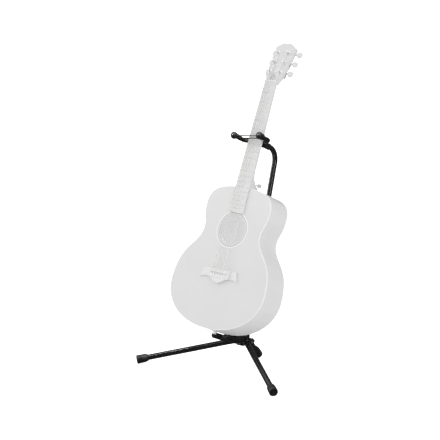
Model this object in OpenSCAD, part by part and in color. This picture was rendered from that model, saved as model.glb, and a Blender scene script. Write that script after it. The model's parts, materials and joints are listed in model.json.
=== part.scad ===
// Steel-string acoustic guitar resting on a folding tubular floor stand.
// +Z is up, the guitar faces -Y, and the origin is on the floor under the middle
// of the whole object. All lengths are in millimetres.

/* [Guitar body] */
// Length of the body along its centre line
body_len = 475; // [420:1:520]
// Full width of the lower bout
lower_bout = 380; // [330:1:420]
// Full width of the waist
waist = 226; // [200:1:260]
// Full width of the upper bout
upper_bout = 257; // [230:1:300]
// Depth of the body over its top and back
body_depth = 104.5; // [85:0.5:125]
// Thickness of the soundboard
top_t = 3; // [2.4:0.1:4]
// Thickness of the back
back_t = 2.6; // [2.2:0.1:4]
// Thickness of the bent sides and of the binding
side_t = 2.2; // [1.8:0.1:3]
// Height of the binding strip round each edge
binding_h = 6; // [4:0.5:9]
// Width of the linings glued inside the edges
lining_w = 6; // [4:0.5:8]
// Height of the linings
lining_h = 14; // [10:1:18]
// Diameter of the sound hole
hole_d = 100; // [90:1:104]
// Width of the rosette ring
rosette_w = 7; // [4:0.5:10]
// Gap between the sound hole and the rosette
rosette_gap = 4; // [3:0.5:6]
// Depth of the rosette inlay
rosette_t = 1; // [0.6:0.1:1.5]

/* [Neck and strings] */
// Speaking length of the strings, nut to saddle
scale_len = 648; // [628:1:660]
// Width of the fretboard at the nut
nut_w = 43.5; // [40:0.5:48]
// Width of the fretboard at the body joint
joint_w = 56; // [52:0.5:60]
// Thickness of the fretboard
board_t = 6; // [5:0.1:7]
// Number of frets
fret_count = 20; // [18:1:20]
// Width of a fret's crown
fret_w = 2.3; // [1.8:0.1:2.8]
// Depth of the neck under the fretboard at the nut
neck_t = 14.5; // [12:0.5:18]
// Extra depth of the neck near the heel
neck_gain = 2; // [0:0.5:4]
// Length of the heel's sweep along the neck
heel_len = 62; // [45:1:80]
// Length of the headstock past the nut
head_len = 146; // [140:1:170]
// Mean width of the headstock at the nut
head_w0 = 60; // [58:1:64]
// Mean width of the headstock at its end
head_w1 = 78; // [70:1:82]
// Depth of the hollows in the headstock's edges, to each side of its mean width
head_wave = 3; // [0:0.5:4]
// Thickness of the headstock's wood
head_t = 14; // [12:0.5:16]
// Thickness of the veneer on the headstock's face
plate_t = 1.6; // [1:0.1:2.5]
// Angle that the headstock leans back from the neck
head_angle = 14; // [10:0.5:16]
// Spacing of the strings at the nut
nut_pitch = 7.1; // [6.5:0.1:7.6]
// Spacing of the strings at the saddle
saddle_pitch = 10.7; // [10:0.1:11.5]
// Height of the nut over the neck's face
nut_h = 8.2; // [7.6:0.1:9]
// Height of the saddle's top over the soundboard
saddle_h = 12.8; // [11:0.1:14]

/* [Bridge] */
// Width of the bridge across the body
bridge_w = 148; // [135:1:170]
// Length of the bridge's wings along the strings
bridge_wing = 27; // [20:1:30]
// Extra length of the wings at their flared ends
bridge_flare = 6; // [0:0.5:9]
// Slant of each end of the bridge
bridge_slant = 9; // [0:1:14]
// Depth of the bridge's curved belly below its wings
belly = 18; // [6:1:20]
// Width of the bridge's thick middle
bridge_mid = 84; // [82:1:110]
// Height of the bridge's middle
bridge_h = 9.5; // [8:0.5:11]
// Height of the bridge's wings
wing_h = 4.5; // [3:0.5:6]
// Length of the saddle
saddle_len = 74; // [70:1:80]
// Thickness of the saddle
saddle_t = 2.9; // [2.4:0.1:3.4]
// Diameter of a bridge pin's shank
pin_d = 5; // [4.6:0.1:5.6]

/* [Tuners] */
// Distance from the nut to the first pair of tuners
tuner_first = 33; // [30:1:40]
// Distance between neighbouring tuners
tuner_pitch = 37; // [35:1:40]
// Distance of the posts from the headstock's middle
post_half = 20.5; // [19:0.5:22]
// Diameter of a string post
post_d = 6; // [5:0.5:7]
// Height of a string post over the headstock's face
post_h = 14; // [11:0.5:17]
// Diameter of a tuner button's shaft
shaft_d = 4; // [3.5:0.5:4.5]
// Diameter of a tuner button
button_d = 17; // [14:1:20]
// Thickness of a tuner button
button_t = 8; // [6:0.5:10]

/* [Pose of the guitar] */
// Backward lean of the guitar from the vertical
lean = 23.4; // [18:0.1:28]
// Sideways lean of the guitar as it happens to stand
side_lean = 1; // [0:0.1:1.5]
// Height of the body's lowest back edge over the floor
tail_z = 126; // [118:1:140]
// Distance of that edge in front of the stand's hub
tail_front = 112; // [100:1:125]

/* [Stand] */
// Height of the hub's centre over the floor
hub_z = 85; // [78:1:92]
// Angle of each front leg from straight ahead
leg_spread = 51.5; // [40:0.5:60]
// Length of a front leg from its pivot to the end of its foot
leg_len = 336; // [280:1:400]
// Length of the rear leg from its pivot to the end of its foot
rear_len = 78; // [76:1:90]
// Diameter of the leg tubes
leg_d = 19; // [16:0.5:21]
// Wall of the steel tubes
tube_wall = 1.4; // [1:0.1:2]
// Distance of the leg pivots from the hub's axis
pivot_r = 30; // [29:0.5:36]
// Drop of the front leg pivots below the hub's centre
pivot_drop = 6; // [4:0.5:8]
// Drop of the rear leg pivot below the hub's centre
rear_drop = 18; // [16:0.5:20]
// Diameter of the rivets that the legs turn on
rivet_d = 6; // [5:0.5:8]
// Diameter of the rubber feet
foot_d = 29; // [25:0.5:33]
// Length of the rubber feet
foot_len = 38; // [30:1:48]
// Backward lean of the mast from the vertical
mast_lean = 16.2; // [12:0.1:19]
// Diameter of the lower mast tube
lower_d = 22; // [20:0.5:25]
// Length of the lower mast tube
lower_len = 350; // [300:1:400]
// Diameter of the upper mast tube
upper_d = 18; // [15:0.5:19]
// Overlap of the two mast tubes
mast_overlap = 150; // [120:1:180]
// Radius of the bend at the top of the mast
bend_r = 46; // [38:1:56]
// Diameter of the clamp collar
collar_d = 31; // [29:0.5:36]
// Height of the clamp collar
collar_h = 44; // [40:1:56]
// Diameter of the clamp knob
knob_d = 30; // [24:1:36]

/* [Neck yoke] */
// Distance of the yoke from the guitar's tail along the neck
yoke_v = 638; // [600:1:700]
// Distance from the middle of the yoke to each prong
yoke_half = 50; // [46:1:60]
// Length of the prongs from the cross bar to the ball centres
prong_len = 63; // [56:1:80]
// Tilt of the self-levelling yoke as it stands
yoke_tilt = 5; // [0:0.5:10]
// Diameter of the yoke's steel rod
yoke_rod = 8; // [6:0.5:9]
// Diameter of the rubber tube on the yoke
yoke_pad = 14.4; // [12:0.2:16]
// Diameter of the rubber balls at the prong ends
ball_d = 24; // [20:1:28]
// Diameter of the swivel sleeve
sleeve_d = 22; // [20.5:0.5:26]
// Length of the swivel sleeve
sleeve_len = 36; // [32:1:44]
// Width of the neck strap
strap_w = 11; // [10:0.5:14]
// Thickness of the neck strap
strap_t = 3.4; // [2:0.1:4]

/* [Cradle] */
// Distance from the middle to each cradle arm
arm_half = 22; // [21:0.5:26]
// Height of the cradle's root over the hub's centre
arm_rise = 12; // [11:0.5:16]
// Diameter of the cradle's steel rod
arm_rod = 10; // [8:0.5:11]
// Diameter of the rubber tube on the cradle
arm_pad = 20; // [17:0.5:21]
// Length of the arms under the guitar, from its back
arm_reach = 27; // [15:1:60]

/* [Fits] */
// Radial clearance of turning and sliding fits
run_gap = 0.06; // [0.02:0.01:0.1]
// Radial clearance of glued and pressed fits
fix_gap = 0.05; // [0.02:0.01:0.1]
// Clearance between faces on pieces that move apart
face_gap = 0.4; // [0.3:0.1:1]

/* [Hidden] */
$fn = 48;

// ---- Finishes ----
ghost = "gainsboro";
trim = "whitesmoke";
inlay = "darkgray";
steel = "silver";
paint = "#1c1c1e";
rubber = "#111113";

// ---- Guitar: derived places, in its own frame (x across, y along the neck, z to the front) ----
nut_v = body_len + scale_len * (1 - pow(2, -14 / 12));
saddle_v = nut_v - scale_len;
board_end = nut_v - fret_at(fret_count) - 3;
hole_v = board_end - 6 - hole_d / 2;
nut_t = 5;
bout_v = 0.291 * body_len;
waist_v = 0.688 * body_len;
upper_v = 0.853 * body_len;
block_len = 60;
block_w = 70;
end_len = 30;
end_w = 80;
inner = side_t + lining_w;
brace_clear = inner + 0.2;
top_under = body_depth - top_t;
rod_d = 6;
rod_z = body_depth - 3.6;
pins_v = saddle_v - 13;
pin_h = 22;
plate_pad = 2.5;
wing_v = saddle_v + 9.5 - bridge_wing / 2;

function fret_at(n) = scale_len * (1 - pow(2, -n / 12));
function board_half(v) = nut_w / 2 + (joint_w - nut_w) / 2 * (nut_v - v) / (nut_v - body_len);
function bez(a, b, c, d, t) =
    pow(1 - t, 3) * a + 3 * pow(1 - t, 2) * t * b + 3 * (1 - t) * t * t * c + t * t * t * d;
function bez_dir(a, b, c, d, t) =
    3 * pow(1 - t, 2) * (b - a) + 6 * (1 - t) * t * (c - b) + 3 * t * t * (d - c);

// The right half of the outline: four curves from the tail, over the lower bout, the waist
// and the upper bout, to the neck joint. Each row is a curve's end and handle points.
half_curves = [
    [[0, 0], [0.3 * lower_bout, 0], [lower_bout / 2, 0.43 * bout_v], [lower_bout / 2, bout_v]],
    [[lower_bout / 2, bout_v], [lower_bout / 2, bout_v + 0.66 * (waist_v - bout_v)],
     [waist / 2, waist_v - 0.34 * (waist_v - bout_v)], [waist / 2, waist_v]],
    [[waist / 2, waist_v], [waist / 2, waist_v + 0.28 * (upper_v - waist_v)],
     [upper_bout / 2, upper_v - 0.58 * (upper_v - waist_v)], [upper_bout / 2, upper_v]],
    [[upper_bout / 2, upper_v], [upper_bout / 2, upper_v + 0.74 * (body_len - upper_v)],
     [0.36 * upper_bout, body_len], [0, body_len]]];
curve_steps = [11, 11, 5, 11];

function inset_point(k, t, inset) =
    let (c = half_curves[k],
         p = bez(c[0], c[1], c[2], c[3], t),
         d = bez_dir(c[0], c[1], c[2], c[3], t))
    p + inset * [-d[1], d[0]] / norm(d);
function half_outline(inset) =
    [for (k = [0:3]) for (i = [0:curve_steps[k] - 1]) inset_point(k, i / curve_steps[k], inset)];
function outline(inset) =
    let (right = half_outline(inset), n = len(right))
    concat(right, [[0, body_len - inset]], [for (i = [n - 1:-1:1]) [-right[i][0], right[i][1]]]);

// ---- Stand: derived places ----
foot_dip = 0.8;
leg_angle = leg_pitch(hub_z - pivot_drop, leg_len);
rear_angle = leg_pitch(hub_z - rear_drop, rear_len);
front_reach = (pivot_r + leg_len * cos(leg_angle)) * cos(leg_spread)
    + foot_d / 2 * norm([sin(leg_spread), sin(leg_angle) * cos(leg_spread)]);
head_back = plate_t + head_t;
tip_v = nut_v + nut_t + head_len * cos(head_angle) - head_back * sin(head_angle);
tip_w = body_depth - head_len * sin(head_angle) - head_back * cos(head_angle);
back_reach = tip_v * sin(lean) - tip_w * cos(lean) - tail_front;
hub_y = (front_reach - back_reach) / 2;
tail_y = hub_y - tail_front;
bend_turn = 90 - (lean - mast_lean);
tail_up = (tail_z - hub_z) * cos(lean) - tail_front * sin(lean);
bend_s = (yoke_v - bend_r + bend_r * sin(lean - mast_lean) + tail_up) / cos(lean - mast_lean);
bar_w = body_depth - neck_depth(yoke_v) - yoke_pad / 2 - face_gap;
ball_w = bar_w + prong_len;
bend_end_w = -(bend_s * sin(mast_lean) - bend_r * cos(mast_lean) + bend_r * sin(lean)
    + tail_front) * cos(lean)
    + (bend_s * cos(mast_lean) + bend_r * sin(mast_lean) + bend_r * cos(lean)
    - tail_z + hub_z) * sin(lean);
sleeve_w = bend_end_w + 8;
tube_in_sleeve = 16;
stem_d = 10;
yoke_bend = 16;
strap_plane = ball_w - ball_d / 2 - strap_t - 3;
lug_r = 8.5;
lug_t = 12;
ear_t = 4;
ear_r = 9;
core_r = 18;
socket_d = 32;
socket_len = 48;
collar_s = lower_len - 20;
stud_s = lower_len + 11;
stud_d = 6;
boss_y = 25;
plate_y = -22;
bar_y = plate_y - 6;
arm_bend = 10;
arm_rise_r = 25;
arm_v = -arm_pad / 2 - face_gap - arm_half * sin(side_lean);
// Where the level part of a cradle arm meets the part that slopes up under the guitar,
// measured from the hub's centre.
knee_w = (hub_z + arm_rise - tail_z - arm_v * cos(lean)) / sin(lean);
knee_y = arm_v * sin(lean) - knee_w * cos(lean) - tail_front;

function leg_pitch(pivot_z, length) =
    asin((pivot_z + foot_dip) / norm([length, foot_d / 2])) - atan(foot_d / 2 / length);

// ---- Frames ----
module in_lean() {
    translate([0, tail_y, tail_z]) rotate([90 - lean, 0, 0]) children();
}

module in_guitar() {
    in_lean() rotate([0, 0, -side_lean]) children();
}

module in_head() {
    in_guitar() translate([0, nut_v + nut_t, body_depth]) rotate([-head_angle, 0, 0]) children();
}

module in_hub() {
    translate([0, hub_y, hub_z]) children();
}

module in_mast() {
    in_hub() rotate([-mast_lean, 0, 0]) children();
}

module in_yoke() {
    in_lean() translate([0, yoke_v, 0]) rotate([0, 0, yoke_tilt]) children();
}

// A leg's frame: x runs outwards along the floor, and the origin is its pivot.
module in_leg(turn, drop) {
    in_hub() rotate([0, 0, turn]) translate([pivot_r, 0, -drop]) children();
}

left_turn = -90 - leg_spread;
right_turn = -90 + leg_spread;
rear_turn = 90;

// ---- Shared shapes ----
module slab(inset, low, high) {
    translate([0, 0, low]) linear_extrude(high - low) polygon(outline(inset));
}

module ring_wall(outside, inside, low, high) {
    difference() {
        slab(outside, low, high);
        slab(inside, low - 1, high + 1);
    }
}

module box(low, high) {
    translate(low) cube(high - low);
}

module rod(from, to, d) {
    run = to - from;
    translate(from)
        rotate([0, acos(run[2] / norm(run)), atan2(run[1], run[0])])
            cylinder(h = norm(run), d = d);
}

module ring_2d(d, hole) {
    difference() {
        circle(d = d);
        if (hole > 0) circle(d = hole);
    }
}

module pipe(d, wall, low, high) {
    difference() {
        translate([0, 0, low]) cylinder(h = high - low, d = d);
        translate([0, 0, low - 1]) cylinder(h = high - low + 2, d = d - 2 * wall);
    }
}

// ---- Guitar body ----
module soundboard() {
    color(ghost) in_guitar() difference() {
        slab(side_t, top_under, body_depth);
        translate([0, hole_v, top_under - 1]) cylinder(h = top_t + 2, d = hole_d, $fn = 96);
        translate([0, hole_v, body_depth - rosette_t]) rosette_ring(rosette_t + 1);
        pin_holes(top_under - 1, body_depth + 1);
    }
}

module rosette_ring(h) {
    inside = hole_d + 2 * rosette_gap;
    difference() {
        cylinder(h = h, d = inside + 2 * rosette_w, $fn = 96);
        translate([0, 0, -1]) cylinder(h = h + 2, d = inside, $fn = 96);
    }
}

module rosette() {
    color(inlay) in_guitar() translate([0, hole_v, body_depth - rosette_t]) rosette_ring(rosette_t);
}

module back_plate() {
    color(ghost) in_guitar() slab(side_t, 0, back_t);
}

module sides() {
    color(ghost) in_guitar() difference() {
        ring_wall(0, side_t, binding_h, body_depth - binding_h);
        end_pin_hole();
    }
}

module binding() {
    color(trim) in_guitar() {
        ring_wall(0, side_t, body_depth - binding_h, body_depth);
        ring_wall(0, side_t, 0, binding_h);
    }
}

module linings() {
    color(ghost) in_guitar() {
        for (low = [back_t, top_under - lining_h]) difference() {
            ring_wall(side_t, inner, low, low + lining_h);
            neck_block_box(0.1);
            end_block_box(0.1);
        }
    }
}

module neck_block_box(grow) {
    box([-block_w / 2 - grow, body_len - block_len - grow, back_t - 1],
        [block_w / 2 + grow, body_len + 1, top_under + 1]);
}

module end_block_box(grow) {
    box([-end_w / 2 - grow, -1, back_t - 1], [end_w / 2 + grow, end_len + grow, top_under + 1]);
}

module neck_block() {
    color(ghost) in_guitar() intersection() {
        slab(side_t, back_t, top_under);
        neck_block_box(0);
    }
}

module end_block() {
    color(ghost) in_guitar() difference() {
        intersection() {
            slab(side_t, back_t, top_under);
            end_block_box(0);
        }
        end_pin_hole();
    }
}

end_pin_d = 10;
end_pin_len = 24;

module end_pin_hole() {
    translate([0, -2, body_depth / 2]) rotate([-90, 0, 0])
        cylinder(h = end_pin_len + 3, d = end_pin_d + 2 * fix_gap);
}

module end_pin() {
    color(trim) in_guitar() translate([0, 0, body_depth / 2]) rotate([-90, 0, 0]) {
        cylinder(h = end_pin_len, d = end_pin_d);
        translate([0, 0, -3]) cylinder(h = 3, d = 15);
        translate([0, 0, -7]) cylinder(h = 4, d = 9);
        translate([0, 0, -9]) cylinder(h = 2, d = 13);
    }
}

// Bars glued under the soundboard: an X below the hole, a cross bar above it, two tone
// bars and four finger braces.
module bar(centre, turn, length, width, height) {
    translate([centre[0], centre[1], top_under - height / 2]) rotate([0, 0, turn])
        cube([length, width, height], center = true);
}

x_turn = 49;
x_v = hole_v - hole_d / 2 - 22;

module brace_bars() {
    for (side = [-1, 1]) {
        bar([0, x_v], 90 + side * x_turn, 420, 7.5, 15);
        bar([side * 66, x_v - 6], 90 - side * 38, 70, 6, 7);
        bar([side * 92, x_v + 26], 90 - side * 60, 60, 6, 7);
    }
    bar([0, (board_end + body_len - block_len) / 2], 0, 300, 9, 14);
    bar([14, x_v - 116], 20, 150, 6.5, 9);
    bar([22, x_v - 160], 20, 150, 6.5, 9);
}

module top_braces() {
    color(ghost) in_guitar() intersection() {
        brace_bars();
        slab(brace_clear, top_under - 30, top_under + 1);
    }
}

module bridge_plate() {
    color(ghost) in_guitar() difference() {
        translate([0, 0, top_under - plate_pad]) linear_extrude(plate_pad)
            polygon([[-75, saddle_v - 30], [75, saddle_v - 30], [45, saddle_v + 12],
                     [-45, saddle_v + 12]]);
        for (side = [-1, 1]) bar([0, x_v], 90 + side * x_turn, 422, 8, 16);
        bar([14, x_v - 116], 20, 152, 7, 10);
        pin_holes(top_under - plate_pad - 1, top_under + 1);
    }
}

module back_braces() {
    color(ghost) in_guitar() intersection() {
        union() {
            for (k = [0:3]) {
                v = body_len * [0.16, 0.37, 0.58, 0.8][k];
                box([-220, v - 5, back_t], [220, v + 5, back_t + 13]);
            }
            box([-9, end_len + 4, back_t], [9, body_len - block_len - 4, back_t + 2]);
        }
        slab(brace_clear, back_t - 1, back_t + 20);
    }
}

// ---- Neck ----
neck_steps = 20;
ring_steps = 16;

function neck_v(i) = body_len + (nut_v + nut_t - body_len) * pow(i / neck_steps, 1.5);
function heel_share(v) = pow(max(0, 1 - (v - body_len) / heel_len), 2.4);
function neck_depth(v) =
    neck_t + neck_gain * min(1, (nut_v - v) / (nut_v - body_len) * 1.3)
    + (body_depth - 7 - neck_t - neck_gain) * heel_share(v);
function neck_ring(v) =
    [for (j = [0:ring_steps])
        let (a = 180 * j / ring_steps,
             side = pow(abs(cos(a)), 0.8) * sign(cos(a)),
             down = pow(sin(a), 0.8))
        [board_half(v) * side * (1 - 0.42 * heel_share(v) * down), v,
         body_depth - neck_depth(v) * down]];

module neck_shaft() {
    m = ring_steps + 1;
    points = [for (i = [0:neck_steps]) each neck_ring(neck_v(i))];
    faces = concat(
        [for (i = [0:neck_steps - 1]) for (j = [0:m - 1])
            let (n = (j + 1) % m) [i * m + j, (i + 1) * m + n, i * m + n]],
        [for (i = [0:neck_steps - 1]) for (j = [0:m - 1])
            let (n = (j + 1) % m) [i * m + j, (i + 1) * m + j, (i + 1) * m + n]],
        [[for (j = [0:m - 1]) j]],
        [[for (j = [m - 1:-1:0]) neck_steps * m + j]]);
    polyhedron(points = points, faces = faces, convexity = 4);
}

// Half the headstock's width: it widens towards its end, and is hollowed beside each tuner.
function head_edge(y) = (head_w0 + (head_w1 - head_w0) * y / head_len) / 2
    - head_wave * cos(360 * (y - tuner_first) / tuner_pitch);

module head_2d() {
    first = tuner_first - 0.36 * tuner_pitch;
    last = tuner_first + 2.5 * tuner_pitch;
    right = concat(
        [[nut_w / 2, -6], [nut_w / 2, 0], [nut_w / 2 + 2.5, 5]],
        [for (i = [0:26]) let (y = first + (last - first) * i / 26) [head_edge(y), y]],
        [[head_edge(last) - 4, last + 6], [head_w1 / 4 + 1, head_len - 3],
         [head_w1 / 7, head_len], [0, head_len - 1.5]]);
    polygon(concat(right, [for (i = [len(right) - 2:-1:0]) [-right[i][0], right[i][1]]]));
}

module neck() {
    color(ghost) difference() {
        union() {
            in_guitar() neck_shaft();
            in_head() translate([0, 0, -head_back]) linear_extrude(head_t) head_2d();
        }
        in_guitar() box([-rod_d / 2 - 0.1, body_len + 2, rod_z - rod_d / 2 - 0.1],
                        [rod_d / 2 + 0.1, nut_v + nut_t + 20, body_depth + 5]);
        in_head() for (k = [1:6]) at_post(k) {
            translate([0, 0, -head_back - 1]) cylinder(h = head_back + 2, d = bush_d + 2 * fix_gap);
        }
        in_guitar() heel_screw_hole();
    }
}

module truss_rod() {
    color(steel) in_guitar() rod([0, body_len + 3, rod_z], [0, nut_v + nut_t + 1, rod_z], rod_d);
}

module fretboard() {
    color(ghost) in_guitar() difference() {
        translate([0, 0, body_depth]) linear_extrude(board_t)
            polygon([[-board_half(board_end), board_end], [board_half(board_end), board_end],
                     [nut_w / 2, nut_v], [-nut_w / 2, nut_v]]);
        markers(marker_d + 0.1, 2);
    }
}

marker_d = 6;
marker_t = 1.2;

module markers(d, h) {
    for (n = [3, 5, 7, 9, 15, 17]) marker(n, 0, d, h);
    for (side = [-1, 1]) marker(12, side * 12, d, h);
}

module marker(n, x, d, h) {
    v = nut_v - (fret_at(n) + fret_at(n - 1)) / 2;
    translate([x, v, body_depth + board_t - marker_t]) cylinder(h = h, d = d);
}

module fret_markers() {
    color(trim) in_guitar() markers(marker_d, marker_t);
}

module frets() {
    color(steel) in_guitar() for (n = [1:fret_count]) {
        v = nut_v - fret_at(n);
        half = board_half(v) - 0.4;
        intersection() {
            rod([-half, v, body_depth + board_t], [half, v, body_depth + board_t], fret_w);
            box([-half, v - fret_w, body_depth + board_t], [half, v + fret_w, body_depth + 20]);
        }
    }
}

module nut() {
    color(trim) in_guitar() box([-nut_w / 2, nut_v, body_depth],
                                [nut_w / 2, nut_v + nut_t, body_depth + nut_h]);
}

// ---- Headstock and tuners ----
bush_d = 9;
gear_d = 12.6;
gear_t = 4;
gear_z = -head_back - 7;
worm_d = 5.2;
worm_y = (gear_d + worm_d) / 2 + 0.3;
house_low = gear_z - 2.2;

// Tuners 1 to 3 go up the bass side from the nut, and 4 to 6 go down the treble side.
function post_row(k) = k <= 3 ? k - 1 : 6 - k;
function post_side(k) = k <= 3 ? -1 : 1;
function post_y(k) = tuner_first + tuner_pitch * post_row(k);

module at_post(k) {
    mirror([post_side(k) < 0 ? 1 : 0, 0, 0]) translate([post_half, post_y(k), 0]) children();
}

module head_plate() {
    color(ghost) in_head() difference() {
        translate([0, 0, -plate_t]) linear_extrude(plate_t) difference() {
            head_2d();
            translate([-nut_w, -20]) square([2 * nut_w, 20.4]);
        }
        for (k = [1:6]) at_post(k)
            translate([0, 0, -plate_t - 1]) cylinder(h = plate_t + 2, d = bush_d + 2 * fix_gap);
        box([-4, -1, -plate_t - 1], [4, 20, 1]);
    }
}

module truss_cover() {
    color(inlay) in_head() {
        linear_extrude(1.5) polygon([[-8, 1], [8, 1], [8, 12], [3, 27], [-3, 27], [-8, 12]]);
        for (y = [4.5, 22.5]) translate([0, y, 1.5]) cylinder(h = 0.7, d = 3.6);
    }
}

module tuner_bushings() {
    color(steel) in_head() for (k = [1:6]) at_post(k) difference() {
        union() {
            translate([0, 0, -6]) cylinder(h = 6, d = bush_d);
            cylinder(h = 1.8, d = 13.5);
        }
        translate([0, 0, -7]) cylinder(h = 12, d = post_d + 2 * run_gap);
    }
}

module tuner_housings() {
    color(steel) in_head() for (k = [1:6]) at_post(k) difference() {
        union() {
            box([-8, -8.5, house_low - 1.5], [8, worm_y + 4.4, -head_back]);
            translate([0, worm_y, gear_z + gear_t / 2]) rotate([0, 90, 0])
                cylinder(h = 11.5, d = 7);
        }
        translate([0, 0, house_low]) cylinder(h = 40, d = post_d + 1);
        translate([0, 0, gear_z - 0.3]) cylinder(h = gear_t + 0.6, d = gear_d + 0.6);
        translate([-6, worm_y, gear_z + gear_t / 2]) rotate([0, 90, 0])
            cylinder(h = 12, d = worm_d + 0.6);
        translate([-9, worm_y, gear_z + gear_t / 2]) rotate([0, 90, 0])
            cylinder(h = 40, d = shaft_d + 2 * run_gap);
    }
}

module string_post(k) {
    color(steel) in_head() at_post(k) {
        difference() {
            union() {
                translate([0, 0, gear_z]) cylinder(h = post_h - gear_z, d = post_d);
                translate([0, 0, gear_z]) cylinder(h = gear_t, d = gear_d);
            }
            translate([-post_d, 0, post_h - 5]) rotate([0, 90, 0])
                cylinder(h = 2 * post_d, d = 1.8, $fn = 24);
        }
    }
}

module tuner_button(k) {
    reach = head_edge(post_y(k)) - post_half + 6;
    color(trim) in_head() at_post(k) translate([0, worm_y, gear_z + gear_t / 2])
        rotate([0, 90, 0]) {
            translate([0, 0, -7.5]) cylinder(h = reach + 9, d = shaft_d);
            translate([0, 0, -5.5]) cylinder(h = 11, d = worm_d);
            translate([0, 0, reach - 3]) cylinder(h = 5, d = 7);
            intersection() {
                translate([0, 0, reach + button_d / 2 + 1]) sphere(d = button_d + 4);
                translate([-button_t / 2, -button_d / 2, reach + 1])
                    cube([button_t, button_d, button_d]);
            }
        }
}

module string_post_1() { string_post(1); }
module string_post_2() { string_post(2); }
module string_post_3() { string_post(3); }
module string_post_4() { string_post(4); }
module string_post_5() { string_post(5); }
module string_post_6() { string_post(6); }
module tuner_button_1() { tuner_button(1); }
module tuner_button_2() { tuner_button(2); }
module tuner_button_3() { tuner_button(3); }
module tuner_button_4() { tuner_button(4); }
module tuner_button_5() { tuner_button(5); }
module tuner_button_6() { tuner_button(6); }

// ---- Bridge and strings ----
module pin_holes(low, high) {
    for (k = [1:6]) translate([saddle_pitch * (k - 3.5), pins_v, low])
        cylinder(h = high - low, d = pin_d + 2 * fix_gap, $fn = 32);
}

module bridge_2d() {
    half = bridge_w / 2;
    top = wing_v + bridge_wing / 2;
    low = wing_v - bridge_wing / 2;
    polygon(concat(
        [[bridge_slant - half, top], [half - bridge_slant, top], [half, low - bridge_flare],
         [half - 14, low]],
        [for (i = [12:-1:-12]) [bridge_mid / 2 * i / 12, low - belly * (1 + cos(15 * i)) / 2]],
        [[14 - half, low], [-half, low - bridge_flare]]));
}

module bridge() {
    color(ghost) in_guitar() difference() {
        union() {
            translate([0, 0, body_depth]) linear_extrude(wing_h) bridge_2d();
            translate([0, 0, body_depth]) linear_extrude(bridge_h) intersection() {
                bridge_2d();
                translate([-bridge_mid / 2, 0]) square([bridge_mid, 2 * saddle_v]);
            }
        }
        saddle_block(0.1, body_depth + 4);
        pin_holes(body_depth - 1, body_depth + bridge_h + 1);
    }
}

module saddle_block(grow, low) {
    box([-saddle_len / 2 - grow, saddle_v - saddle_t / 2 - grow, low],
        [saddle_len / 2 + grow, saddle_v + saddle_t / 2 + grow, body_depth + saddle_h]);
}

module saddle() {
    color(trim) in_guitar() saddle_block(0, body_depth + 4);
}

module bridge_pins() {
    color(trim) in_guitar() for (k = [1:6])
        translate([saddle_pitch * (k - 3.5), pins_v, body_depth + bridge_h]) {
            translate([0, 0, -pin_h]) cylinder(h = pin_h, d = pin_d, $fn = 32);
            intersection() {
                translate([0, 0, 0.4]) sphere(d = 7.6, $fn = 32);
                cylinder(h = 5, d = 8, $fn = 32);
            }
        }
}

string_d = [1.4, 1.2, 1.1, 1, 0.9, 0.8];

module guitar_string(k) {
    d = string_d[k - 1];
    x0 = saddle_pitch * (k - 3.5);
    x1 = nut_pitch * (k - 3.5);
    on_saddle = [x0, saddle_v, body_depth + saddle_h + 0.7 * d + fix_gap];
    on_nut = [x1, nut_v + nut_t - 0.5, body_depth + nut_h + 0.7 * d + fix_gap];
    at_pin = [x0, pins_v + 4.6, body_depth + bridge_h + d / 2 + 0.1];
    lift = 7;
    side = post_side(k);
    px = side * (post_half - post_d / 2 - d / 2 - face_gap);
    over_post = [px, nut_v + nut_t + post_y(k) * cos(head_angle) + lift * sin(head_angle),
                 body_depth - post_y(k) * sin(head_angle) + lift * cos(head_angle)];
    rod(at_pin, on_saddle, d);
    rod(on_saddle, on_nut, d);
    rod(on_nut, over_post, d);
    for (bend = [on_saddle, on_nut]) translate(bend) sphere(d = 1.4 * d, $fn = 24);
}

module strings() {
    color(steel) in_guitar() for (k = [1:6]) guitar_string(k);
}

// ---- Strap button on the heel ----
button_v = body_len + 20;
button_z = body_depth - 50;
heel_x = 17;

module heel_screw_hole() {
    translate([heel_x - 14, button_v, button_z]) rotate([0, 90, 0])
        cylinder(h = 40, d = 4 + 2 * fix_gap, $fn = 32);
}

module strap_button() {
    color(steel) in_guitar() translate([heel_x, button_v, button_z]) rotate([0, 90, 0]) {
        translate([0, 0, -12]) cylinder(h = 16, d = 4, $fn = 32);
        translate([0, 0, 3]) cylinder(h = 3, d = 14);
        translate([0, 0, 6]) cylinder(h = 5, d = 8);
        translate([0, 0, 11]) cylinder(h = 2, d = 12);
    }
}

// ---- Stand: hub and legs ----
ear_in = lug_t / 2 + face_gap / 2;

// An ear's outline, with the hook that reaches over the leg's root.
module ear_2d(pitch) {
    difference() {
        union() {
            circle(r = ear_r);
            translate([12 - pivot_r, -ear_r]) square([pivot_r - 12, 2 * ear_r]);
            rotate(-pitch) translate([-5, 0]) square([15.5, lug_r + face_gap + 4]);
        }
        circle(d = rivet_d + 2 * fix_gap);
    }
}

// A pair of ears and the bridge between them that stops the leg from swinging up past its
// standing place.
module ears(turn, drop, pitch) {
    in_leg(turn, drop) {
        for (y = [-ear_in, ear_in + ear_t]) translate([0, y, 0]) rotate([90, 0, 0])
            linear_extrude(ear_t) ear_2d(pitch);
        rotate([0, pitch, 0])
            box([-4, -ear_in - 1, lug_r + face_gap], [9.5, ear_in + 1, lug_r + face_gap + 3.5]);
    }
}

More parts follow.
